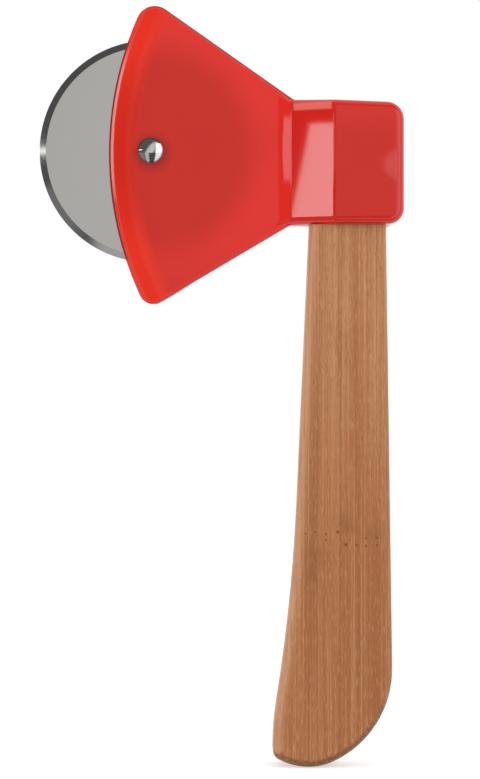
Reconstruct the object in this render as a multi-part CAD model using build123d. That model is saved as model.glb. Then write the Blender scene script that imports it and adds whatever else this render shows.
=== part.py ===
from build123d import *
from math import atan2, cos, degrees, radians, sin, sqrt, tan
import os

os.makedirs("parts", exist_ok=True)

# An axe-shaped pizza cutter. X runs from the wheel to the poll, the flat back end of the axe head.
# Y runs from the front cheek to the back cheek, and Z runs up the handle to the head.
# The sizes below are millimetres. A reach is measured along X from the axle, a height above the axle
# and a drop below it. The finished pieces are moved so that the lowest point of the handle is at Z = 0.

# Wheel
wheel_diameter = 64.0
wheel_thickness = 1.0
grind_width = 1.9
cutting_edge_thickness = 0.16

# Moulded bearing boss, washers and the room round the wheel
boss_diameter = 8.0
bore_clearance = 0.08
washer_diameter = 11.6
washer_thickness = 0.4
side_play = 0.1
rim_clearance = 0.8

# Two-part axle rivet: a domed tube and a domed pin that is pressed into it
rivet_head_diameter = 7.2
rivet_head_height = 1.7
barrel_diameter = 4.4
pin_diameter = 2.8
rivet_fit = 0.05
barrel_end_gap = 0.5
barrel_end_wall = 0.6
pin_end_gap = 0.4

# Cheeks: the fan of the axe head, with the bevel along its curved bit
cheek_thickness = 7.0
bevel_width = 7.2
bevel_fall = 1.1
bevel_blend_radius = 7.0
lip_width = 1.3
lip_fall = 0.8
bit_radius = 97.7
bit_reach = 11.95
bit_centre_drop = 0.8
top_edge_angle = 35.2
bottom_edge_angle = 30.6
top_corner_radius = 5.4
bottom_corner_radius = 4.1

# Eye: the thick block that holds the handle, and the flare between it and the cheeks
eye_thickness = 20.0
eye_top_height = 14.5
eye_bottom_drop = 21.4
eye_top_fall = 1.35
flare_reach = 36.9
knee_width = 3.4
knee_angle = 17.0
knee_radius = 3.2
crease_reach = 52.6
poll_reach = 72.35
top_neck_reach = 41.0
bottom_neck_reach = 40.15
neck_overlap = 8.0
neck_corner_radius = 4.0
neck_blend_radius = 9.0
crease_radius = 2.6
poll_top_radius = 5.0
poll_bottom_radius = 4.4
eye_edge_radius = 2.1

# Inside of the moulding
wall_thickness = 2.4
socket_reach = 46.5
rib_thickness = 1.6
rib_height_shares = (0.25, 0.75)
post_height_share = 0.5
post_diameter = 4.4
post_clearance = 0.12
post_socket_depth = 1.0
post_tip_gap = 0.3
peg_diameter = 2.4
peg_length = 1.6
peg_clearance = 0.1

# Handle: three bamboo plies glued face to face, cut to one outline, with a tenon on top
handle_thickness = 14.0
handle_length = 155.1
handle_edge_radius = 2.6
belly_reach = 45.6
back_reach = 67.45
belly_lean = 2.58
back_lean = 0.82
belly_straight_length = 80.0
flare_share = 0.815
toe_reach = 35.05
toe_height = 4.9
toe_share = 0.29
lowest_reach = 45.35
heel_height = 28.3
heel_share = 0.167
tenon_reach = 48.5
tenon_width = 18.0
tenon_thickness = 10.0
tenon_length = 29.0
tenon_clearance = 0.15

# How far a cutting tool runs past what it cuts, and how near an edge lies to the outline it belongs to
overrun = 1.0
outline_tolerance = 0.1

# Values that follow from the sizes above
wheel_radius = wheel_diameter / 2
boss_radius = boss_diameter / 2
pocket_radius = wheel_radius + rim_clearance
pocket_depth = wheel_thickness / 2 + side_play + washer_thickness
cheek_half = cheek_thickness / 2
lip_half = cheek_half - bevel_fall
rim_half = lip_half - lip_fall
eye_half = eye_thickness / 2
barrel_radius = barrel_diameter / 2
pin_radius = pin_diameter / 2
post_radius = post_diameter / 2
peg_radius = peg_diameter / 2
handle_half = handle_thickness / 2
poll_top_height = eye_top_height - eye_top_fall
handle_bottom_drop = eye_bottom_drop + handle_length
tenon_middle_reach = tenon_reach + tenon_width / 2
tenon_top_height = tenon_length - eye_bottom_drop
floor_height = wall_thickness - eye_bottom_drop
roof_height = poll_top_height - wall_thickness
bit_centre = Vector(bit_radius - bit_reach, 0, -bit_centre_drop)
top_direction = Vector(-cos(radians(top_edge_angle)), 0, sin(radians(top_edge_angle)))
bottom_direction = Vector(-cos(radians(bottom_edge_angle)), 0, -sin(radians(bottom_edge_angle)))
top_neck = Vector(top_neck_reach, 0, eye_top_height)
bottom_neck = Vector(bottom_neck_reach, 0, -eye_bottom_drop)
to_origin = Pos((wheel_radius - poll_reach) / 2, 0, handle_bottom_drop)


def on_bit(start, direction):
    """Follow a straight edge from inside the bit's circle to where it meets the bit."""
    offset = start - bit_centre
    along = offset.dot(direction)
    return start + direction * (sqrt(along**2 - offset.length**2 + bit_radius**2) - along)


def rounded(face, corner, radius):
    """Round the corner of a flat face that lies nearest to a point."""
    flat = face.face()
    nearest = min(flat.vertices(), key=lambda vertex: (vertex.center() - corner).length)
    return flat.fillet_2d(radius, [nearest])


def corner_centre(corner, side_a, side_b, radius):
    """The centre of the arc that rounds a corner, from the unit directions of its two sides."""
    inward = (side_a + side_b).normalized()
    sine_of_half_angle = sqrt((1 - side_a.dot(side_b)) / 2)
    return corner + inward * (radius / sine_of_half_angle)


def front_extrusion(face, depth):
    """Extrude a face of the XZ plane towards the front."""
    return extrude(face, amount=depth, dir=(0, -1, 0))


def rod(centre, radius, start, end):
    """A round bar along Y through a point, between two depths."""
    return Pos(centre.X, (start + end) / 2, centre.Z) * Rot(90, 0, 0) * Cylinder(radius, abs(end - start))


def runs_along(edge, direction):
    """Whether an edge runs more along a direction than across it."""
    return abs(edge.tangent_at(0.5).dot(Vector(*direction))) > cos(radians(45))


def on_outline(edge, outline):
    """Whether an edge runs over the border of a flat outline."""
    middle = edge.position_at(0.5)
    flat = Vertex(middle.X, 0, middle.Z)
    return outline.outer_wire().distance_to(flat) < outline_tolerance


def turned(*lines):
    """A piece turned about the axle from its half section."""
    return revolve(make_face(lines), axis=Axis.Y)


top_corner = on_bit(top_neck, top_direction)
bottom_corner = on_bit(bottom_neck, bottom_direction)


def bit_side(corner, sign):
    """The direction of the bit's curve as it leaves a corner towards the middle of the bit."""
    outward = (corner - bit_centre).normalized()
    return Vector(outward.Z, 0, -outward.X) * sign


top_peg = corner_centre(top_corner, -top_direction, bit_side(top_corner, -1), top_corner_radius)
bottom_peg = corner_centre(bottom_corner, -bottom_direction, bit_side(bottom_corner, 1), bottom_corner_radius)
peg_places = (top_peg, bottom_peg)


# The axe head's outside
def angle_on_bit(point):
    """The angle of a point about the centre of the bit's curve, in the XZ plane."""
    offset = point - bit_centre
    return degrees(atan2(offset.Z, offset.X)) % 360


def fan_outline():
    """The cheek seen from the front: a curved bit and two straight edges that run into the eye."""
    top_end = top_neck - top_direction * neck_overlap
    bottom_end = bottom_neck - bottom_direction * neck_overlap
    start = angle_on_bit(top_corner)
    sweep = angle_on_bit(bottom_corner) - start
    bit = Plane.XZ * CenterArc((bit_centre.X, bit_centre.Z), bit_radius, start, sweep)
    sides = Polyline(bottom_corner, bottom_end, top_end, top_corner)
    face = rounded(make_face([bit, *sides.edges()]), top_corner, top_corner_radius)
    return rounded(face, bottom_corner, bottom_corner_radius)


def bevel_cutter():
    """What the bit loses in front: a wide shallow bevel and a narrow steep lip, turned about its centre."""
    inner = bit_radius - bevel_width
    shoulder = bit_radius - lip_width
    bevel_slope = bevel_fall / (bevel_width - lip_width)
    lip_slope = lip_fall / lip_width
    blend_start = inner - bevel_blend_radius * bevel_slope - overrun
    outer = bit_radius + overrun
    profile = [
        (blend_start, cheek_half),
        (inner, cheek_half),
        (shoulder, lip_half),
        (outer, rim_half - overrun * lip_slope),
        (outer, cheek_half + overrun),
        (blend_start, cheek_half + overrun),
    ]
    points = [Vector(bit_centre.X - reach, -depth, bit_centre.Z) for reach, depth in profile]
    section = rounded(make_face(Polyline(*points, close=True)), points[1], bevel_blend_radius)
    return revolve(section, axis=Axis(bit_centre, (0, 1, 0)))


def fan():
    """The front half of the cheek, with its bevel and lip. Its two straight edges stay sharp."""
    return front_extrusion(fan_outline(), cheek_half) - bevel_cutter()


def eye_outline():
    """The eye seen from the front, with the start of the cheek's edges at its neck."""
    top_start = top_neck + top_direction * neck_overlap
    bottom_start = bottom_neck + bottom_direction * neck_overlap
    poll_top = Vector(poll_reach, 0, poll_top_height)
    poll_bottom = Vector(poll_reach, 0, -eye_bottom_drop)
    face = make_face(Polyline(top_start, top_neck, poll_top, poll_bottom, bottom_neck, bottom_start, close=True))
    face = rounded(face, top_neck, neck_corner_radius)
    face = rounded(face, bottom_neck, neck_corner_radius)
    face = rounded(face, poll_top, poll_top_radius)
    return rounded(face, poll_bottom, poll_bottom_radius)


def eye_plan():
    """The eye seen from above: thin at the neck, flared in two slopes with a knee, square at the poll."""
    start = flare_reach - neck_overlap * 2
    knee_reach = flare_reach + knee_width
    knee_half = cheek_half + knee_width * tan(radians(knee_angle))
    front = [
        (start, -cheek_half),
        (flare_reach, -cheek_half),
        (knee_reach, -knee_half),
        (crease_reach, -eye_half),
        (poll_reach, -eye_half),
    ]
    back = [(x, -y) for x, y in reversed(front)]
    face = make_face(Polyline(*front, *back, close=True))
    for side in (-1, 1):
        face = rounded(face, Vector(flare_reach, side * cheek_half, 0), neck_blend_radius)
        face = rounded(face, Vector(knee_reach, side * knee_half, 0), knee_radius)
        face = rounded(face, Vector(crease_reach, side * eye_half, 0), crease_radius)
    return face


def upright(plan, low, high):
    """Extrude a face of the XY plane between two heights."""
    return extrude(Pos(0, 0, low) * plan, amount=high - low, dir=(0, 0, 1))


def eye_block():
    """The front half of the eye and its flare, rounded all round its front."""
    outline = eye_outline()
    prism = upright(eye_plan(), -eye_bottom_drop - neck_overlap, eye_top_height + neck_overlap)
    body = front_extrusion(outline, eye_half) & prism

    def on_front_rim(edge):
        middle = edge.position_at(0.5)
        at_left_end = runs_along(edge, (0, 0, 1)) and middle.X < flare_reach
        return -middle.Y > lip_half and not runs_along(edge, (0, 1, 0)) and not at_left_end

    rim = [edge for edge in body.edges() if on_front_rim(edge) and on_outline(edge, outline)]
    return fillet(rim, eye_edge_radius)


# The axe head's inside
def tenon_plan(clearance):
    """The tenon's section, with room round it."""
    size_x = tenon_width + clearance * 2
    size_y = tenon_thickness + clearance * 2
    return Pos(tenon_middle_reach, 0) * Rectangle(size_x, size_y)


def height_at(share):
    """A height in the eye's hollow, as a share of the way from its floor to its roof."""
    return floor_height + (roof_height - floor_height) * share


post_place = Vector(tenon_middle_reach, 0, height_at(post_height_share))


def hollow_plan():
    """The eye's plan, one wall inside its outside."""
    walls_off = offset(eye_plan(), amount=-wall_thickness, kind=Kind.INTERSECTION)
    length = poll_reach - socket_reach
    window = Pos(socket_reach + length / 2, 0) * Rectangle(length, eye_thickness)
    return (walls_off & window).face()


def clamping_ribs():
    """Flat ribs across the hollow, each with a window that holds the tenon."""
    ribs = []
    window = tenon_plan(tenon_clearance)
    for share in rib_height_shares:
        height = height_at(share)
        plate = upright(hollow_plan(), height - rib_thickness / 2, height + rib_thickness / 2)
        hole = upright(window, height - rib_thickness, height + rib_thickness)
        ribs.append(plate - hole)
    return ribs


def front_side(body):
    """Keep what lies in front of the parting plane."""
    return split(body, Plane.XZ, keep=Keep.TOP)


def moulded_half():
    """What both halves share: the outside, the wheel's pocket, its boss, the handle's socket and ribs."""
    half = fan() + eye_block()
    half -= rod(Vector(0, 0, 0), pocket_radius, -pocket_depth, overrun)
    half += rod(Vector(0, 0, 0), boss_radius, -pocket_depth, 0)
    half -= upright(hollow_plan(), floor_height, roof_height)
    for rib in clamping_ribs():
        half += front_side(rib)
    half -= upright(tenon_plan(tenon_clearance), -eye_bottom_drop - overrun, floor_height + overrun)
    half -= rod(Vector(0, 0, 0), barrel_radius + rivet_fit, -cheek_half - overrun, overrun)
    return half


def head_front_half():
    """The front half, with a post that runs through the tenon, and holes for the back half's pegs."""
    half = moulded_half()
    inner_face = wall_thickness - eye_half
    post_tip = post_socket_depth - post_tip_gap - inner_face
    half += rod(post_place, post_radius, inner_face, post_tip)
    for place in peg_places:
        half -= rod(place, peg_radius + peg_clearance, -peg_length - peg_clearance, overrun)
    return half


def head_back_half():
    """The back half: the front half's mirror image, with a shallow socket for the post, and with pegs."""
    half = mirror(moulded_half(), about=Plane.XZ)
    inner_face = eye_half - wall_thickness
    half -= rod(post_place, post_radius + post_clearance, inner_face - overrun, inner_face + post_socket_depth)
    for place in peg_places:
        half += rod(place, peg_radius, -peg_length, overrun)
    return half


# The wheel and what carries it
def cutting_wheel():
    """A thin disc, ground on both faces to its edge, with a plain bore."""
    bore = boss_radius + bore_clearance
    ground = wheel_radius - grind_width
    face = wheel_thickness / 2
    edge = cutting_edge_thickness / 2
    return turned(*Polyline(
        (bore, -face), (ground, -face), (wheel_radius, -edge),
        (wheel_radius, edge), (ground, face), (bore, face), close=True,
    ).edges())


def wheel_washer(side):
    """A thin ring on the pocket's floor, which keeps the wheel off the moulding."""
    outer = side * pocket_depth
    inner = side * (pocket_depth - washer_thickness)
    past = side * overrun
    ring = rod(Vector(0, 0, 0), washer_diameter / 2, outer, inner)
    return ring - rod(Vector(0, 0, 0), boss_radius + bore_clearance, outer + past, inner - past)


def dome(side):
    """The curve of a rivet head's section, from its top to its rim on the cheek."""
    seat = side * cheek_half
    top = side * (cheek_half + rivet_head_height)
    return TangentArc((0, top), (rivet_head_diameter / 2, seat), tangent=(1, 0))


def rivet_barrel():
    """The front rivet: a dome on a tube with a closed end under the dome."""
    seat = -cheek_half
    end = cheek_half - barrel_end_gap
    bottom = seat + barrel_end_wall
    bore = pin_radius + rivet_fit
    stem = Polyline(
        (rivet_head_diameter / 2, seat), (barrel_radius, seat), (barrel_radius, end),
        (bore, end), (bore, bottom), (0, bottom), (0, seat - rivet_head_height),
    )
    return turned(dome(-1), *stem.edges())


def rivet_pin():
    """The back rivet: a dome on a solid pin that goes into the tube."""
    seat = cheek_half
    end = barrel_end_wall + pin_end_gap - cheek_half
    stem = Polyline(
        (rivet_head_diameter / 2, seat), (pin_radius, seat), (pin_radius, end),
        (0, end), (0, seat + rivet_head_height),
    )
    return turned(dome(1), *stem.edges())


# The handle
def arc_pair(start, start_direction, end, end_direction, first_share):
    """Two arcs that leave one point and reach another in given directions, smoothly joined.

    The first share says how much of the way belongs to the first arc.
    """
    ratio = first_share / (1 - first_share)
    span = end - start
    pull = span.dot(start_direction * ratio + end_direction)
    turn = (1 - start_direction.dot(end_direction)) * ratio * 2
    last = (sqrt(pull**2 + turn * span.length**2) - pull) / turn
    first = last * ratio
    first_knee = start + start_direction * first
    last_knee = end - end_direction * last
    join = (first_knee * last + last_knee * first) / (first + last)
    return [
        TangentArc(start, join, tangent=start_direction),
        TangentArc(join, end, tangent=last_knee - first_knee),
    ]


def handle_outline():
    """The handle below the head: straight grip, forward-swept toe, and a long rounded heel."""
    shoulder = -eye_bottom_drop
    bottom = -handle_bottom_drop
    down_belly = Vector(-sin(radians(belly_lean)), 0, -cos(radians(belly_lean)))
    up_back = Vector(-sin(radians(back_lean)), 0, cos(radians(back_lean)))
    belly_top = Vector(belly_reach, 0, shoulder)
    back_top = Vector(back_reach, 0, shoulder)
    belly_end = belly_top + down_belly * belly_straight_length
    toe = Vector(toe_reach, 0, bottom + toe_height)
    lowest = Vector(lowest_reach, 0, bottom)
    heel = back_top - up_back * (handle_length - heel_height)
    down = Vector(0, 0, -1)
    return make_face([
        Line(belly_top, belly_end),
        *arc_pair(belly_end, down_belly, toe, down, flare_share),
        *arc_pair(toe, down, lowest, Vector(1, 0, 0), toe_share),
        *arc_pair(lowest, Vector(1, 0, 0), heel, up_back, heel_share),
        Line(heel, back_top),
        Line(back_top, belly_top),
    ])


def whole_handle():
    """The handle before it is parted into plies, with its tenon and the hole for the post."""
    blank = Pos(0, handle_half, 0) * front_extrusion(handle_outline(), handle_thickness)

    def is_long_edge(edge):
        middle = edge.position_at(0.5)
        return abs(middle.Y) > handle_half / 2 and middle.Z < -eye_bottom_drop - handle_edge_radius

    body = fillet([edge for edge in blank.edges() if is_long_edge(edge)], handle_edge_radius)
    body += upright(tenon_plan(0), -eye_bottom_drop - overrun, tenon_top_height)
    return body - rod(post_place, post_radius + post_clearance, -tenon_thickness, tenon_thickness)


def handle_ply(number):
    """One of three plies of equal thickness, counted from the front."""
    ply = handle_thickness / 3
    width = (poll_reach - toe_reach) * 2
    length = (handle_length + tenon_length) * 2
    slab = Pos(lowest_reach, ply * (number - 1), -handle_length / 2) * Box(width, ply, length)
    return whole_handle() & slab


# Every piece, by the name of its file
pieces = {
    "head_front_half": head_front_half(),
    "head_back_half": head_back_half(),
    "cutting_wheel": cutting_wheel(),
    "front_wheel_washer": wheel_washer(-1),
    "back_wheel_washer": wheel_washer(1),
    "rivet_barrel": rivet_barrel(),
    "rivet_pin": rivet_pin(),
    "handle_front_ply": handle_ply(0),
    "handle_core_ply": handle_ply(1),
    "handle_back_ply": handle_ply(2),
}

for name, piece in pieces.items():
    placed = to_origin * piece
    export_step(placed, f"parts/{name}.step")
    print(name, "solids", len(placed.solids()), "volume", round(placed.volume, 1))
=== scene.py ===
# %% [markdown]
# # An axe-shaped pizza cutter
# The tool is a thin steel wheel in the bit of a red moulded axe head, held by a domed rivet, on a handle of
# three bamboo plies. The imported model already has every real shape, so this lesson gives each piece its
# finish and builds the small studio that it stands in.

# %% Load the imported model
import math

import bpy
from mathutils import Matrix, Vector


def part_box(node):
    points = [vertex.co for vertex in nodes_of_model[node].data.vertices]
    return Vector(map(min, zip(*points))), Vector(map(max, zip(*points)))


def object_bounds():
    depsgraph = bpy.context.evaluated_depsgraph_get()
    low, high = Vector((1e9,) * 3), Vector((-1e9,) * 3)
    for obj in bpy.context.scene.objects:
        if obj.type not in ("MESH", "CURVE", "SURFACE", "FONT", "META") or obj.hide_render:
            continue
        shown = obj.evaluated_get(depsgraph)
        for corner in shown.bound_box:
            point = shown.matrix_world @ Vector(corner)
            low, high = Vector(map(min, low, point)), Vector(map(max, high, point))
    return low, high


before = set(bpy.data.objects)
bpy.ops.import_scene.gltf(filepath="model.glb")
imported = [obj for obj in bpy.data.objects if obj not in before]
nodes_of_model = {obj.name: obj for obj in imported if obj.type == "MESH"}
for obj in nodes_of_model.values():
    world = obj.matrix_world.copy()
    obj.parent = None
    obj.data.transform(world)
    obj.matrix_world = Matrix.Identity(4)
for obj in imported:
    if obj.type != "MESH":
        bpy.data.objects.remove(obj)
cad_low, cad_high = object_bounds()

scene = bpy.context.scene
print("pieces:", sorted(nodes_of_model))

# %% [markdown]
# ## Places
# The finishes are laid out from the axle, because the shade of the wheel, the ground edge and the bit are
# all round it. The axle is the middle of the wheel's own box, so it is read from the model and not typed in.
# The model is in metres, and the finishes are thought out in millimetres.

# %% Find the axle
MM = 1000.0
wheel_low, wheel_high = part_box("cutting_wheel")
axle = (wheel_low + wheel_high) / 2
wheel_radius = (wheel_high.x - wheel_low.x) / 2 * MM
print("axle at", [round(value * MM, 2) for value in axle], "mm, wheel radius", round(wheel_radius, 2), "mm")

# %% [markdown]
# ## Camera
# The photo was taken square to the cheek from about 0.7 m, with the lens a little below the axle and to the
# right of it: the underside of the eye shows and its top doesn't. A long lens keeps that perspective.

# %% Set up the camera
camera_offset = Vector((0.02569, -0.691, -0.06857))
sensor_width, focal_length = 36.0, 110.9
camera_data = bpy.data.cameras.new("camera")
camera_data.sensor_width = sensor_width
camera_data.lens = focal_length
camera = bpy.data.objects.new("camera", camera_data)
camera.location = axle + camera_offset
camera.rotation_euler = (math.radians(90), 0.0, 0.0)
scene.collection.objects.link(camera)
scene.camera = camera
scene.view_settings.view_transform = "Standard"
print("camera at", [round(value, 4) for value in camera.location])


# %% [markdown]
# ## Small helpers for shader nodes
# A finish is a small graph of nodes. It could be wired by hand in the editor. Here one helper adds a node
# and sets or links its inputs, and the others are built on it, so that each finish below reads as a short
# list of steps.

# %% Add a node
def set_inputs(tree, node, **inputs):
    """Set or link a node's inputs, by name with _ for a space, or by place as i0, i1 and so on."""
    for name, value in inputs.items():
        key = int(name[1:]) if name[0] == "i" and name[1:].isdigit() else name.replace("_", " ")
        socket = node.inputs[key]
        if isinstance(value, bpy.types.NodeSocket):
            tree.links.new(value, socket)
        else:
            socket.default_value = value


def add_node(tree, kind, settings=None, **inputs):
    """Add a node. Settings are its own options, and inputs are values or sockets."""
    node = tree.nodes.new(kind)
    for name, value in (settings or {}).items():
        setattr(node, name, value)
    set_inputs(tree, node, **inputs)
    return node


# %% [markdown]
# Most nodes of a finish do one of a few things: a sum, a soft step from one value to another, a band
# between two places, or a mix. Each gets a helper with a plain name.

# %% Sums, steps and mixes
def maths(tree, operation, first, *others):
    """One operation on a value and on each of the others in turn."""
    for other in others or (0.0,):
        first = add_node(tree, "ShaderNodeMath", {"operation": operation}, i0=first, i1=other).outputs[0]
    return first


def vector_maths(tree, operation, first, **inputs):
    """One operation on a vector."""
    return add_node(tree, "ShaderNodeVectorMath", {"operation": operation}, i0=first, **inputs).outputs


def ramp(tree, value, start, end, low=0.0, high=1.0):
    """A smooth step from low to high as the value goes from start to end."""
    node = add_node(
        tree, "ShaderNodeMapRange", {"interpolation_type": "SMOOTHSTEP"},
        i0=value, i1=start, i2=end, i3=low, i4=high,
    )
    return node.outputs[0]


def between(tree, value, start, full, fading, end):
    """A mask that is 1 from full to fading, and 0 before start and beyond end."""
    return maths(tree, "MULTIPLY", ramp(tree, value, start, full), ramp(tree, value, end, fading))


def opaque(colour):
    """A colour of three numbers with full alpha. A socket stays as it is."""
    return (*colour, 1.0) if isinstance(colour, tuple) else colour


def blend(tree, factor, first, second):
    """Mix two colours."""
    node = add_node(
        tree, "ShaderNodeMix", {"data_type": "RGBA"}, i0=factor, i6=opaque(first), i7=opaque(second)
    )
    return node.outputs[2]


def coats(tree, colour, *layers):
    """Lay coats of colour over a first one, each as strong as its mask."""
    for mask, paint in layers:
        colour = blend(tree, mask, colour, paint)
    return colour


def mix_values(tree, factor, first, second):
    """Mix two values."""
    return add_node(tree, "ShaderNodeMix", {"data_type": "FLOAT"}, i0=factor, i2=first, i3=second).outputs[0]


# %% [markdown]
# A finish also has to know where it is on the tool and which way the surface faces. Both come from the
# texture coordinates, which travel with the piece and never depend on where the camera stands.

# %% Places and directions on a piece
def coordinate(tree, kind):
    """One kind of texture coordinate."""
    return add_node(tree, "ShaderNodeTexCoord").outputs[kind]


def split(tree, vector):
    """The X, Y and Z of a vector."""
    return add_node(tree, "ShaderNodeSeparateXYZ", i0=vector).outputs


def place(tree):
    """Where a point of the piece is, in millimetres from the axle."""
    moved = vector_maths(tree, "SUBTRACT", coordinate(tree, "Object"), i1=tuple(axle))[0]
    return vector_maths(tree, "SCALE", moved, Scale=MM)[0]


# %% [markdown]
# ## Node groups
# An effect that several materials share is a group of nodes with named inputs and outputs. It is built once,
# and each material places it with its own values.

# %% Group helpers
FLOAT = "NodeSocketFloat"
VECTOR = "NodeSocketVector"


def new_group(name, inputs, outputs):
    """A shader node group with named inputs and outputs."""
    group = bpy.data.node_groups.new(name, "ShaderNodeTree")
    for label, kind, default in inputs:
        socket = group.interface.new_socket(label, in_out="INPUT", socket_type=kind)
        if default is not None:
            socket.default_value = default
    for label, kind in outputs:
        group.interface.new_socket(label, in_out="OUTPUT", socket_type=kind)
    source = group.nodes.new("NodeGroupInput")
    sink = group.nodes.new("NodeGroupOutput")
    return group, source.outputs, sink


def use_group(tree, group, **inputs):
    """Place a node group in a material and set its inputs."""
    return add_node(tree, "ShaderNodeGroup", {"node_tree": group}, **inputs).outputs


# %% [markdown]
# ## Round masks
# Several finishes change with the distance from an axis that runs from front to back: the wheel's shade
# behind the plastic, the ground edge, the bit's bevel, and the dots on the bamboo's knuckle. One group
# measures that distance and another turns it into a soft disc.

# %% Build the round groups
centre_inputs = [("Place", VECTOR, None), ("Centre X", FLOAT, 0.0), ("Centre Z", FLOAT, 0.0)]
round_distance, given, result = new_group(
    "round_distance", centre_inputs, [("Distance", FLOAT), ("Angle", FLOAT)]
)
parts = split(round_distance, given["Place"])
across = maths(round_distance, "SUBTRACT", parts["X"], given["Centre X"])
up = maths(round_distance, "SUBTRACT", parts["Z"], given["Centre Z"])
flat = add_node(round_distance, "ShaderNodeCombineXYZ", i0=across, i1=up).outputs[0]
set_inputs(
    round_distance, result,
    Distance=vector_maths(round_distance, "LENGTH", flat)["Value"],
    Angle=maths(round_distance, "ARCTAN2", up, across),
)

soft_disc, given, result = new_group(
    "soft_disc", centre_inputs + [("Radius", FLOAT, 1.0), ("Softness", FLOAT, 0.5)], [("Mask", FLOAT)]
)
distance = use_group(
    soft_disc, round_distance, Place=given["Place"], Centre_X=given["Centre X"], Centre_Z=given["Centre Z"]
)["Distance"]
edge_start = maths(soft_disc, "SUBTRACT", given["Radius"], given["Softness"])
edge_end = maths(soft_disc, "ADD", given["Radius"], given["Softness"])
set_inputs(soft_disc, result, Mask=ramp(soft_disc, distance, edge_start, edge_end, 1.0, 0.0))
print("groups:", round_distance.name, soft_disc.name)


# %% [markdown]
# ## Fine grain
# Bamboo fibres, brushed steel and moulded plastic all have a pattern that is much longer one way than the
# other, or even both ways. Noise that is squeezed across and stretched along gives all three.

# %% Build the grain group
noise_roughness = 0.55
fine_grain, given, result = new_group(
    "fine_grain",
    [("Place", VECTOR, None), ("Across per mm", FLOAT, 1.0), ("Along per mm", FLOAT, 0.05),
     ("Shift", FLOAT, 0.0), ("Detail", FLOAT, 3.0)],
    [("Value", FLOAT)],
)
parts = split(fine_grain, given["Place"])
squeezed = add_node(
    fine_grain, "ShaderNodeCombineXYZ",
    i0=maths(fine_grain, "MULTIPLY", parts["X"], given["Across per mm"]),
    i1=maths(fine_grain, "MULTIPLY", parts["Y"], given["Across per mm"]),
    i2=maths(fine_grain, "MULTIPLY", parts["Z"], given["Along per mm"]),
).outputs[0]
noise = add_node(
    fine_grain, "ShaderNodeTexNoise", {"noise_dimensions": "3D"},
    Vector=vector_maths(fine_grain, "ADD", squeezed, i1=given["Shift"])[0],
    Scale=1.0, Detail=given["Detail"], Roughness=noise_roughness,
)
set_inputs(fine_grain, result, Value=noise.outputs[0])
print("group:", fine_grain.name)


def grain(tree, where, across, along, detail, shift=0.0):
    """Grain on a piece: how often it changes per millimetre across and along, and how fine it goes."""
    return use_group(tree, fine_grain, Place=where, Across_per_mm=across, Along_per_mm=along, Shift=shift,
                     Detail=detail)["Value"]


# %% [markdown]
# ## Edges
# A real edge is never one sharp line: on this tool the outermost hair of it looks dark, and a paler line
# runs just inside. Modelling both would cost many faces, so both are painted: the outer line is painted shade
# and the inner one a painted highlight. The shader's rounded normal leans more and more from the true one
# towards an edge, so their likeness tells how near the edge is, and two steps of it give the two lines.

# %% Build the edge group
edge_lines, given, result = new_group(
    "edge_lines", [("Radius", FLOAT, 0.0007)], [("Outer", FLOAT), ("Inner", FLOAT)]
)
rounded = add_node(edge_lines, "ShaderNodeBevel", {"samples": 6}, Radius=given["Radius"]).outputs[0]
true_normal = add_node(edge_lines, "ShaderNodeNewGeometry").outputs["Normal"]
likeness = vector_maths(edge_lines, "DOT_PRODUCT", rounded, i1=true_normal)["Value"]
set_inputs(
    edge_lines, result,
    # Outer is where the painted shade goes, Inner where the painted highlight goes.
    Outer=ramp(edge_lines, likeness, 0.93, 0.80),
    Inner=between(edge_lines, likeness, 0.84, 0.94, 0.965, 0.992),
)
print("group:", edge_lines.name)


# %% [markdown]
# ## Finishing a piece
# Each finish is a material with one main shader. Values that are the same all over are set on the shader,
# and only what changes over the surface is wired into it.

# %% Material helpers
def new_material(name, **constants):
    """A material with a main shader, its constant values set by name."""
    material = bpy.data.materials.new(name)
    material.use_nodes = True
    tree = material.node_tree
    tree.nodes.clear()
    shader = add_node(tree, "ShaderNodeBsdfPrincipled", **constants)
    add_node(tree, "ShaderNodeOutputMaterial", Surface=shader.outputs[0])
    return material, tree, shader


def emboss(tree, shader, height, strength, distance, **more):
    """Wire a bump into the shader. Its distance is in metres."""
    bump = add_node(tree, "ShaderNodeBump", Strength=strength, Distance=distance, Height=height, **more)
    set_inputs(tree, shader, Normal=bump.outputs[0])


def finish(material, *names):
    """Give the finish to pieces of the model."""
    for name in names:
        piece = nodes_of_model[name]
        piece.data.materials.clear()
        piece.data.materials.append(material)
    print(material.name, "on", ", ".join(names))


# %% [markdown]
# ## Red moulded plastic
# The head is glossy and a little translucent: the steel wheel shows through the cheek as a soft darker disc,
# and the thin bevel along the bit glows brighter. A clear glass shader would show too much, so both are
# painted into the colour: the disc is painted shade, and the bevel's glow is painted light. The bevel glows
# less where the wheel is behind it.

# %% Colour the cheek and the bevel
bit_centre_x, bit_centre_z, bit_radius, bevel_width = 85.75, -0.8, 97.7, 7.2
bevel_start = bit_radius - bevel_width
# The second red is the cheek under the wheel's painted shade.
cheek_red, red_in_wheel_shade, low_red = (0.90, 0.029, 0.019), (0.675, 0.0205, 0.0085), (0.66, 0.026, 0.015)
# The bevel's two reds are its painted glow, dimmer over the wheel.
bevel_glow_over_wheel, bevel_glow_red = (0.79, 0.026, 0.013), (0.99, 0.040, 0.021)

red_plastic, tree, shader = new_material("red_plastic", IOR=1.46)
here = place(tree)
where = split(tree, here)
from_axle = use_group(tree, round_distance, Place=here)["Distance"]
from_bit_centre = use_group(
    tree, round_distance, Place=here, Centre_X=bit_centre_x, Centre_Z=bit_centre_z
)["Distance"]
# Painted shade: the wheel behind the translucent cheek darkens it as a soft disc.
wheel_shade = use_group(tree, soft_disc, Place=here, Radius=29.8, Softness=6.5)["Mask"]
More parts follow.
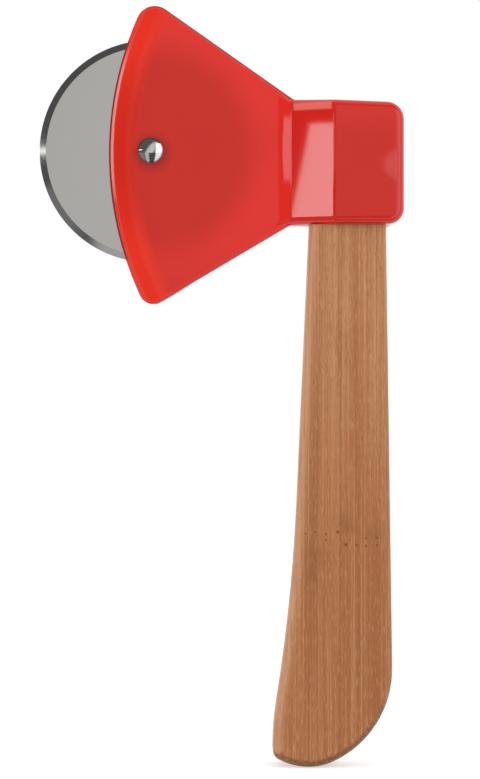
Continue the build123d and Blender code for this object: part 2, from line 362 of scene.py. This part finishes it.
# Painted light: the thin bevel glows, less where the wheel is behind it.
painted_bevel_glow = blend(tree, ramp(tree, from_axle, 8.0, 31.0), bevel_glow_over_wheel, bevel_glow_red)
colour = coats(
    tree, cheek_red,
    (wheel_shade, red_in_wheel_shade),
    (ramp(tree, where["Z"], -16.0, -44.0, 0.0, 0.55), low_red),
    (ramp(tree, from_bit_centre, bevel_start - 2.0, bevel_start + 1.8), painted_bevel_glow),
)
print("bit radius", bit_radius, "mm, bevel", bevel_width, "mm wide")

# %% [markdown]
# The flare and the eye are thicker, so nothing shows through and their red is even. The eye is a touch
# lighter towards its top. The poll's rounded edge has a painted highlight, a paler strip, and the flare's rim
# has a painted highlight, a pale strip, which only shows where the surface still faces forwards or back. A
# faint cloud keeps the red from being flat.

# %% Colour the flare, the eye and the poll
# The poll's band is where a painted highlight lies on its rounded edge.
flare_start, eye_start, poll_highlight_band = (39.5, 41.0), (51.5, 53.5), (69.0, 71.5)
flare_red, eye_red, eye_top_red = (0.785, 0.0195, 0.011), (0.69, 0.0215, 0.013), (0.755, 0.027, 0.018)
# The first two colours are painted highlights, for the poll's edge and the flare's rim.
poll_highlight_red, rim_highlight_pink, cloud_red = (0.82, 0.060, 0.052), (1.0, 0.198, 0.168), (0.50, 0.012, 0.009)

forwards = maths(tree, "ABSOLUTE", split(tree, coordinate(tree, "Normal"))["Y"])
# A painted highlight along the flare's top rim.
painted_rim_highlight = maths(
    tree, "MULTIPLY",
    between(tree, where["X"], 40.6, 41.4, 51.4, 52.0),
    between(tree, where["Z"], 10.9, 11.6, 13.0, 13.7),
    ramp(tree, forwards, 0.25, 0.5),
    0.9,
)
cloud = grain(tree, here, 0.09, 0.09, 2.0)
eye_colour = blend(tree, ramp(tree, where["Z"], 3.0, 12.0), eye_red, eye_top_red)
colour = coats(
    tree, colour,
    (ramp(tree, where["X"], *flare_start), flare_red),
    (ramp(tree, where["X"], *eye_start), eye_colour),
    # painted highlight on the poll's rounded edge
    (ramp(tree, where["X"], *poll_highlight_band, 0.0, 0.8), poll_highlight_red),
    # painted highlight on the flare's rim
    (painted_rim_highlight, rim_highlight_pink),
    (ramp(tree, cloud, 0.4, 0.75, 0.0, 0.08), cloud_red),
)
print("flare starts", flare_start[0], "mm and the eye", eye_start[0], "mm to the right of the axle")

# %% [markdown]
# The plastic round the rivet's foot gets a painted shadow, and the slot that the wheel comes out of gets
# painted shade inside. The edges get their lines: painted shade on the outermost hair and a painted highlight
# just inside.

# %% Paint shadow round the rivet's foot, shade in the slot, and shade and highlight lines on the edges
# Colours of the painted shadow round the rivet, the painted shade in the slot, and the edges' painted
# highlight and painted shade.
rivet_shadow_red, slot_shade_red, painted_edge_highlight, painted_edge_shade = (
    (0.16, 0.006, 0.006), (0.11, 0.006, 0.008), (0.90, 0.17, 0.14), (0.22, 0.010, 0.010)
)
# A painted shadow round the rivet's foot.
painted_rivet_shadow = use_group(tree, soft_disc, Place=here, Centre_X=0.5, Centre_Z=-0.7, Radius=4.6, Softness=2.2)["Mask"]
# Painted shade inside the slot. The same mask dulls the gloss there.
slot_shade = maths(
    tree, "MULTIPLY",
    ramp(tree, from_bit_centre, bit_radius - 0.62, bit_radius - 0.36),
    ramp(tree, from_axle, 32.6, 31.8),
)
edge = use_group(tree, edge_lines, Radius=0.0015)
colour = coats(
    tree, colour,
    (maths(tree, "MULTIPLY", painted_rivet_shadow, 0.55), rivet_shadow_red),
    (maths(tree, "MULTIPLY", slot_shade, 0.95), slot_shade_red),
    # Painted highlight and painted shade along the edges.
    (maths(tree, "MULTIPLY", edge["Inner"], 0.55), painted_edge_highlight),
    (maths(tree, "MULTIPLY", edge["Outer"], 0.80), painted_edge_shade),
)
print("halo, slot and edge lines on", red_plastic.name)

# %% [markdown]
# The moulding is polished, so its roughness is very low and its flat faces mirror the room sharply. It is
# buffed a little duller before the bevel, and the slot is dull.

# %% Set the gloss of the red plastic
speck = grain(tree, here, 3.0, 3.0, 2.0)
polished = ramp(tree, speck, 0.3, 0.8, 0.015, 0.032)
buffed = maths(
    tree, "MULTIPLY",
    between(tree, from_bit_centre, bit_radius - 18.0, bit_radius - 8.5, bit_radius - 5.6, bit_radius - 3.6),
    ramp(tree, where["X"], 20.0, 10.0, 0.0, 0.26),
)
dullness = maths(tree, "MAXIMUM", polished, buffed, maths(tree, "MULTIPLY", slot_shade, 0.85))
set_inputs(tree, shader, Base_Color=colour, Roughness=dullness)
emboss(tree, shader, speck, 0.02, 0.000002)
finish(red_plastic, "head_front_half", "head_back_half")

# %% [markdown]
# ## Satin steel wheel
# The faces are satin, with faint rings from polishing, and the ground edge is smoother and mirrors the studio
# in short bright and dark stretches. One steel with two roughnesses and a mask by radius gives both. The
# rings are grain that is laid out by distance and angle and not by place.

# %% Make the wheel's steel
grind_start = wheel_radius - 1.9
dark_ring, pale_ring, ground_steel = (0.745, 0.722, 0.695), (0.765, 0.742, 0.715), (0.62, 0.61, 0.59)
ground_roughness = 0.10

blade_steel, tree, shader = new_material("blade_steel", Metallic=1.0)
turn = use_group(tree, round_distance, Place=place(tree))
polar = add_node(tree, "ShaderNodeCombineXYZ", i0=turn["Distance"], i1=0.0, i2=turn["Angle"]).outputs[0]
rings = grain(tree, polar, 2.5, 0.8, 3.0)
ground = ramp(tree, turn["Distance"], grind_start - 0.05, grind_start + 0.05)
face_colour = blend(tree, ramp(tree, rings, 0.3, 0.7), dark_ring, pale_ring)
face_roughness = ramp(tree, rings, 0.25, 0.75, 0.22, 0.26)
set_inputs(
    tree, shader,
    Base_Color=blend(tree, ground, face_colour, ground_steel),
    Roughness=mix_values(tree, ground, face_roughness, ground_roughness),
)
emboss(tree, shader, rings, 0.03, 0.00004)
finish(blade_steel, "cutting_wheel")

# %% [markdown]
# ## Polished rivet
# The rivet's two domes are plated and polished, so they are almost a mirror. Fine handling marks keep them
# from looking like glass. The photo's dome mirrors the room as a flatter one would, so the shader leans its
# normals towards the axle. Modelling a flatter dome would lower it, and its height is right as it is. Round
# its foot the dome gets a painted shade, darker where it meets the plastic.

# %% Make the rivet's chrome
# The foot colour is a painted shade.
bright_plating, marked_plating, foot_shade_dark = (0.80, 0.79, 0.77), (0.70, 0.69, 0.68), (0.10, 0.095, 0.10)
foot_radius = 3.35
lean_towards_axle = (0.40, 1.0, 0.40)

rivet_chrome, tree, shader = new_material("rivet_chrome", Metallic=1.0)
here = place(tree)
marks = grain(tree, here, 4.0, 1.2, 4.0)
dome = use_group(tree, soft_disc, Place=here, Radius=foot_radius, Softness=0.3)["Mask"]
# A painted shade round the dome's foot, where it meets the plastic.
painted_foot_shade = maths(tree, "MULTIPLY", maths(tree, "SUBTRACT", 1.0, dome), 0.85)
plating = blend(tree, ramp(tree, marks, 0.4, 0.7), bright_plating, marked_plating)
set_inputs(
    tree, shader,
    Base_Color=blend(tree, painted_foot_shade, plating, foot_shade_dark),
    Roughness=ramp(tree, marks, 0.3, 0.8, 0.04, 0.12),
)
true_normal = add_node(tree, "ShaderNodeNewGeometry").outputs["Normal"]
leaning = vector_maths(tree, "MULTIPLY", true_normal, i1=lean_towards_axle)[0]
emboss(tree, shader, marks, 0.04, 0.00003, Normal=vector_maths(tree, "NORMALIZE", leaning)[0])
finish(rivet_chrome, "rivet_barrel", "rivet_pin")

# %% [markdown]
# ## Nylon washers
# Two thin rings of natural nylon sit between the wheel and the moulding. Little of them is ever seen, but
# the gap beside the wheel shows their pale milky colour.

# %% Make the nylon
milky, paler_milk = (0.74, 0.72, 0.66), (0.82, 0.80, 0.75)

nylon, tree, shader = new_material("washer_nylon", IOR=1.5)
milk = grain(tree, place(tree), 0.8, 0.8, 3.0)
set_inputs(
    tree, shader,
    Base_Color=blend(tree, ramp(tree, milk, 0.3, 0.7), milky, paler_milk),
    Roughness=ramp(tree, milk, 0.3, 0.7, 0.42, 0.55),
)
emboss(tree, shader, milk, 0.1, 0.0001)
finish(nylon, "front_wheel_washer", "back_wheel_washer")


# %% [markdown]
# ## Bamboo
# A ply is made of thin strips of split cane. Each strip has its own tone, the wood is a little paler
# towards the head, and fine fibres run up it. Broad soft grain gives the strips, very long grain the fibres
# and threads, and shorter grain the small hairs and glints that catch the light.

# %% The cane's tones
def cane_colour(tree, here, where, shift):
    """The wood's colour, with the grains that its other parts use."""
    def cane_grain(across, along, offset, detail):
        return grain(tree, here, across, along, detail, shift + offset)

    strips = cane_grain(0.16, 0.004, 0.0, 2.0)
    fibres = cane_grain(1.5, 0.006, 7.0, 3.0)
    threads = cane_grain(2.0, 0.009, 19.0, 2.0)
    hairs = cane_grain(3.4, 0.42, 13.0, 2.0)
    glints = cane_grain(3.0, 0.26, 29.0, 2.0)
    blotches = cane_grain(0.16, 0.06, 41.0, 3.0)
    strip_tone = ramp(tree, strips, 0.35, 0.65)
    lower = blend(tree, strip_tone, (0.445, 0.150, 0.044), (0.525, 0.203, 0.067))
    upper = blend(tree, strip_tone, (0.530, 0.210, 0.078), (0.625, 0.282, 0.116))
    colour = coats(
        tree, blend(tree, ramp(tree, where["Z"], -125.0, -25.0), lower, upper),
        (ramp(tree, blotches, 0.48, 0.72, 0.0, 0.55), (0.47, 0.165, 0.056)),
        (ramp(tree, fibres, 0.44, 0.66, 0.0, 0.62), (0.37, 0.132, 0.044)),
        (ramp(tree, threads, 0.50, 0.70, 0.0, 0.55), (0.74, 0.37, 0.185)),
        (ramp(tree, hairs, 0.50, 0.72, 0.0, 0.42), (0.28, 0.098, 0.033)),
        (ramp(tree, glints, 0.52, 0.72, 0.0, 0.42), (0.80, 0.42, 0.215)),
    )
    return colour, fibres, threads, hairs, glints


# %% [markdown]
# Where the cane had a joint there is a knuckle: a row of small dark dots with soft stains near it. Their
# places are given as pixels of the photo, and a short sum turns a pixel into a place on the ply's face.

# %% The knuckle
def pixel_to_place(column, row, depth):
    """Where a pixel of the photo lies on the tool, in millimetres from the axle, this far in front of it."""
    pixel, distance, middle = 0.288, 691.0, (240.0, 389.5)
    nearer = (distance - depth) / distance
    across = (column - middle[0]) * pixel * nearer + camera_offset.x * MM
    up = (middle[1] - row) * pixel * nearer + camera_offset.z * MM
    return across, up


def knuckle(tree, here, colour, dots, stains):
    """Lay soft stains and then small dark dots on the wood."""
    for x, z, radius in stains:
        stain = use_group(
            tree, soft_disc, Place=here, Centre_X=x, Centre_Z=z, Radius=radius, Softness=radius
        )["Mask"]
        colour = blend(tree, maths(tree, "MULTIPLY", stain, 0.38), colour, (0.30, 0.095, 0.03))
    for x, z, radius in dots:
        dot = use_group(
            tree, soft_disc, Place=here, Centre_X=x, Centre_Z=z, Radius=radius * 0.65, Softness=radius * 0.6
        )["Mask"]
        colour = blend(tree, maths(tree, "MULTIPLY", dot, 0.9), colour, (0.17, 0.036, 0.012))
    return colour


# %% [markdown]
# The rounded left edge of the handle gets painted light where it faces left, the wood gets a painted shadow
# right under the head, and the butt shows end grain with dark pores. The rounded edges get a faint painted
# shade on their outermost hair. A thin dark line of glue runs between the plies, a third of the handle's
# thickness apart.

# %% The handle's edges
handle_thickness = 14.0
ply_joint = handle_thickness / 6


def edge_tones(tree, here, where, colour, threads, shift):
    """Lay painted light on the left edge, painted shadow under the head, end grain and glue lines on the
    wood.
    """
    softened = add_node(tree, "ShaderNodeBevel", {"samples": 8}, Radius=0.005).outputs[0]
    lean = split(tree, softened)["X"]
    # Painted light on the rounded left edge, where it faces left, patchy along the threads.
    painted_left_light = maths(
        tree, "MULTIPLY", ramp(tree, lean, -0.02, -0.50, 0.0, 0.78), ramp(tree, threads, 0.3, 0.6, 0.45, 1.0)
    )
    end_grain = maths(
        tree, "MULTIPLY",
        ramp(tree, split(tree, coordinate(tree, "Normal"))["Z"], -0.06, -0.38),
        ramp(tree, grain(tree, here, 2.4, 2.4, 2.0, shift + 3.0), 0.40, 0.60, 0.30, 1.0),
    )
    # The outer edge line, for a faint painted shade.
    edge = use_group(tree, edge_lines, Radius=0.0008)["Outer"]
    from_middle = maths(tree, "ABSOLUTE", where["Y"])
    from_joint = maths(tree, "ABSOLUTE", maths(tree, "SUBTRACT", from_middle, ply_joint))
    return coats(
        tree, colour,
        # painted light on the left edge
        (painted_left_light, (0.77, 0.385, 0.205)),
        # painted shadow under the head
        (ramp(tree, where["Z"], -22.6, -20.2, 0.0, 0.5), (0.20, 0.070, 0.030)),
        (end_grain, (0.20, 0.080, 0.028)),
        # painted shade along the rounded edges
        (maths(tree, "MULTIPLY", edge, 0.35), (0.22, 0.09, 0.035)),
        (maths(tree, "MULTIPLY", ramp(tree, from_joint, 0.05, 0.16, 1.0, 0.0), 0.7), (0.17, 0.065, 0.025)),
    )


# %% [markdown]
# Each ply gets its own shift of the pattern, as it was cut from other canes. The front ply has the photo's
# knuckle. The back ply has one lower down, so that the two sides differ as in real wood. The core ply shows
# only at the handle's edges and has none.

# %% Make the three plies
def make_bamboo(name, shift, dots, stains):
    """A bamboo ply with its own pattern, with dark dots along its knuckle and soft stains near them."""
    material, tree, shader = new_material(name, IOR=1.45)
    here = place(tree)
    where = split(tree, here)
    colour, fibres, threads, hairs, glints = cane_colour(tree, here, where, shift)
    colour = knuckle(tree, here, colour, dots, stains)
    colour = edge_tones(tree, here, where, colour, threads, shift)
    set_inputs(tree, shader, Base_Color=colour, Roughness=ramp(tree, fibres, 0.3, 0.7, 0.36, 0.50))
    emboss(tree, shader, maths(tree, "SUBTRACT", glints, hairs), 0.35, 0.00015)
    return material


face_depth = handle_thickness / 2
dot_pixels = [
    (305.5, 533.5, 0.45), (315.5, 532, 0.4), (326, 534, 0.4), (326, 540, 0.35), (338, 532, 0.6),
    (346, 544.5, 0.6), (356.5, 545, 0.45), (366, 538.5, 0.4), (366, 546, 0.4), (377, 537.5, 0.4),
    (377, 545, 0.4), (281.5, 753, 0.8), (283.5, 757, 0.6),
]
stain_pixels = [(316, 557, 2.6), (347, 524, 2.2), (372, 533, 1.6), (312, 574, 1.8)]
front_dots, front_stains = (
    [(*pixel_to_place(column, row, face_depth), radius) for column, row, radius in pixels]
    for pixels in (dot_pixels, stain_pixels)
)
back_dots = [(x + 1.5 * (-1) ** number, z + 42.0, radius) for number, (x, z, radius) in enumerate(front_dots)]
finish(make_bamboo("bamboo_front", 0.0, front_dots, front_stains), "handle_front_ply")
finish(make_bamboo("bamboo_core", 31.0, [], []), "handle_core_ply")
finish(make_bamboo("bamboo_back", 57.0, back_dots, []), "handle_back_ply")

# %% [markdown]
# ## Floor
# The photo's background is plain white. The floor is a pale sheet that still takes the tool's shadow, and
# what the camera sees of it is lifted to white by the Light Path node, so that no more light falls on the
# tool for it.

# %% Lay the floor
half = 3.0
floor_mesh = bpy.data.meshes.new("floor")
corners = [(-half, -half, 0), (half, -half, 0), (half, half, 0), (-half, half, 0)]
floor_mesh.from_pydata(corners, [], [(0, 1, 2, 3)])
floor = bpy.data.objects.new("floor", floor_mesh)
floor.location = (0.0, 0.0, cad_low.z - 0.0001)
scene.collection.objects.link(floor)
print("floor", 2 * half, "m wide at", round(floor.location.z * MM, 2), "mm")

# %% [markdown]
# The gloss sees another floor: a grey one behind the tool, and in front a dark one with a few pale cards on
# it, as a photographer lays them out to light the steel's edge and the rivet from below. They are drawn by
# their direction from the axle, in degrees to the right of the camera's side.

# %% Paint the floor
white = (1.0, 1.0, 1.0, 1.0)
lift_to_white = 0.52
floor_paint, tree, shader = new_material("floor_paint", Roughness=0.9)
set_inputs(tree, shader, Base_Color=(0.82, 0.82, 0.82, 1.0), Specular_IOR_Level=0.0, Emission_Color=white)
rays = add_node(tree, "ShaderNodeLightPath").outputs
spot = split(tree, coordinate(tree, "Object"))
greyer = maths(tree, "MULTIPLY", rays["Is Glossy Ray"], ramp(tree, spot["Y"], 0.03, 0.25, 1.0, 0.2))
seen = maths(tree, "MAXIMUM", rays["Is Camera Ray"], greyer, rays["Is Transmission Ray"])
set_inputs(tree, shader, Emission_Strength=maths(tree, "MULTIPLY", seen, lift_to_white))

to_right = maths(tree, "SUBTRACT", spot["X"], axle.x)
to_front = maths(tree, "MULTIPLY", spot["Y"], -1.0)
side = maths(tree, "DEGREES", maths(tree, "ARCTAN2", to_right, to_front))
right_card = maths(
    tree, "MULTIPLY", between(tree, side, 13.0, 17.0, 56.0, 62.0), ramp(tree, spot["Y"], -0.13, -0.18)
)
grey_card = between(tree, side, -21.0, -17.0, -8.0, -4.0)
shown = maths(
    tree, "ADD",
    maths(tree, "MULTIPLY", right_card, 0.95),
    maths(tree, "MULTIPLY", grey_card, 0.45),
    ramp(tree, maths(tree, "ABSOLUTE", side), 40.0, 62.0, 0.0, 0.30),
    ramp(tree, side, -20.0, -25.0, 0.0, 0.15),
    0.08,
)
cards = add_node(tree, "ShaderNodeEmission", Color=white, Strength=shown)
in_front = maths(tree, "MULTIPLY", rays["Is Glossy Ray"], ramp(tree, spot["Y"], -0.03, -0.09))
both = add_node(tree, "ShaderNodeMixShader", i0=in_front, i1=shader.outputs[0], i2=cards.outputs[0])
set_inputs(tree, tree.nodes["Material Output"], Surface=both.outputs[0])
floor.data.materials.append(floor_paint)
print(floor_paint.name, "on", floor.name)


# %% [markdown]
# ## Light
# Two large soft boxes and a pale room light the tool evenly. What a glossy surface mirrors matters more
# here than the shadows, so the gloss doesn't see the boxes: it sees a room that has its own windows. Each
# one is placed by the direction in which the photo's highlight throws the view. Directions are in degrees,
# to the right of the camera's side and up.

# %% Hang the soft boxes
def soft_box(name, azimuth, elevation, distance, width, height, radiance):
    """An area lamp that faces the head. It lights the tool, and the room's windows show in the gloss."""
    turn, rise = math.radians(azimuth), math.radians(elevation)
    direction = Vector((math.sin(turn) * math.cos(rise), -math.cos(turn) * math.cos(rise), math.sin(rise)))
    lamp_data = bpy.data.lights.new(name, "AREA")
    lamp_data.shape = "RECTANGLE"
    lamp_data.size = width
    lamp_data.size_y = height
    lamp_data.energy = radiance * math.pi * width * height
    lamp = bpy.data.objects.new(name, lamp_data)
    lamp.location = axle + direction * distance
    lamp.rotation_euler = direction.to_track_quat("Z", "Y").to_euler()
    lamp.visible_glossy = False
    scene.collection.objects.link(lamp)
    print(name, "at", [round(value, 2) for value in lamp.location])


soft_box("right_box", azimuth=58.0, elevation=22.0, distance=1.6, width=1.4, height=1.4, radiance=1.1)
soft_box("left_box", azimuth=-61.0, elevation=14.0, distance=1.6, width=0.6, height=0.8, radiance=2.6)

# %% [markdown]
# ## What the gloss sees
# The room is the world's own graph. It works out the azimuth and the elevation of each direction, and a
# window is a soft-edged patch of them, with straight sides or oval.

# %% Measure directions in the room
world = bpy.data.worlds.new("room")
scene.world = world
world.use_nodes = True
room = world.node_tree
room.nodes.clear()
toward = split(room, coordinate(room, "Generated"))
to_camera = maths(room, "MULTIPLY", toward["Y"], -1.0)
azimuth = maths(room, "DEGREES", maths(room, "ARCTAN2", toward["X"], to_camera))
elevation = maths(room, "DEGREES", maths(room, "ARCSINE", toward["Z"]))


def window(left, right, low, high, soft, soft_up, lean=0.0):
    """A patch of directions between two azimuths and two elevations. Lean tilts its sides."""
    side = maths(room, "ADD", azimuth, maths(room, "MULTIPLY", elevation, lean))
    return maths(
        room, "MULTIPLY",
        between(room, side, left - soft, left + soft, right - soft, right + soft),
        between(room, elevation, low - soft_up, low + soft_up, high - soft_up, high + soft_up),
    )


def oval(centre, middle, width, height, soft, tilt=0.0):
    """An oval patch of directions about an azimuth and an elevation, turned by an angle."""
    c, s = math.cos(math.radians(tilt)), math.sin(math.radians(tilt))
    across = maths(room, "SUBTRACT", azimuth, centre)
    up = maths(room, "SUBTRACT", elevation, middle)
    along = maths(
        room, "ADD", maths(room, "MULTIPLY", across, c / width), maths(room, "MULTIPLY", up, s / width)
    )
    over = maths(
        room, "SUBTRACT", maths(room, "MULTIPLY", up, c / height), maths(room, "MULTIPLY", across, s / height)
    )
    flat = add_node(room, "ShaderNodeCombineXYZ", i0=along, i1=over).outputs[0]
    return ramp(room, vector_maths(room, "LENGTH", flat)["Value"], 1.0 - soft, 1.0 + soft, 1.0, 0.0)


# %% [markdown]
# The steel's face and the flat red faces mirror the grey space about the camera. The rivet's right side
# mirrors a large window, and the flare's slope and facet, the bit's lip and the eye's face each have a
# window of their own. Behind the tool the room is paler, with a greyer patch high up for the back's steel.

# %% Draw the windows
slope_pane = maths(
    room, "MULTIPLY", oval(-40.0, 5.73, width=14.0, height=0.86, soft=0.06), ramp(room, azimuth, -43.5, -42.0)
)
windows = {
    "grey space about the camera": (oval(0.0, 5.0, width=30.0, height=10.0, soft=0.4, tilt=56.0), 0.55),
    "rivet's right side": (window(14.0, 58.0, -40.0, 30.0, soft=1.5, soft_up=1.5, lean=-0.15), 1.2),
    "flare's facet": (window(-47.5, -45.85, 3.9, 6.33, soft=0.03, soft_up=0.03, lean=-0.206), 6.4),
    "flare's slope": (slope_pane, 2.6),
    "bit's lip": (window(-71.0, -61.0, -1.0, 22.0, soft=2.5, soft_up=4.0), 5.3),
    "spot on the eye": (oval(3.85, 5.35, width=0.42, height=0.36, soft=0.12), 1.1),
    "ceiling": (window(-25.0, 60.0, 62.0, 88.0, soft=5.0, soft_up=5.0), 0.6),
}
behind = ramp(room, toward["Y"], -0.12, 0.12)
beside = ramp(room, to_camera, 0.72, 0.15)
far_side = maths(
    room, "MULTIPLY", ramp(room, toward["Y"], 0.70, 0.95), ramp(room, elevation, 6.0, 16.0, 0.0, 0.5)
)
mirrored = maths(
    room, "ADD",
    ramp(room, behind, 0.0, 1.0, 0.10, 0.70),
    maths(room, "MULTIPLY", beside, 0.30),
    *(maths(room, "MULTIPLY", mask, radiance) for mask, radiance in windows.values()),
)
mirrored = maths(room, "SUBTRACT", mirrored, far_side)
print("windows in the gloss:", ", ".join(windows))

# %% [markdown]
# The room has three faces. The camera, also through clear things, sees plain white. The gloss sees the
# windows. Everything else gets an even pale light, so that the windows, bright as they are, light nothing.

# %% Light the room
fill = 0.66
rays = add_node(room, "ShaderNodeLightPath").outputs
lit = mix_values(room, rays["Is Glossy Ray"], fill, mirrored)
clear = maths(room, "MAXIMUM", rays["Is Camera Ray"], rays["Is Transmission Ray"])
background = add_node(room, "ShaderNodeBackground", Color=white, Strength=mix_values(room, clear, lit, 1.0))
add_node(room, "ShaderNodeOutputWorld", Surface=background.outputs[0])
print("fill light", fill)
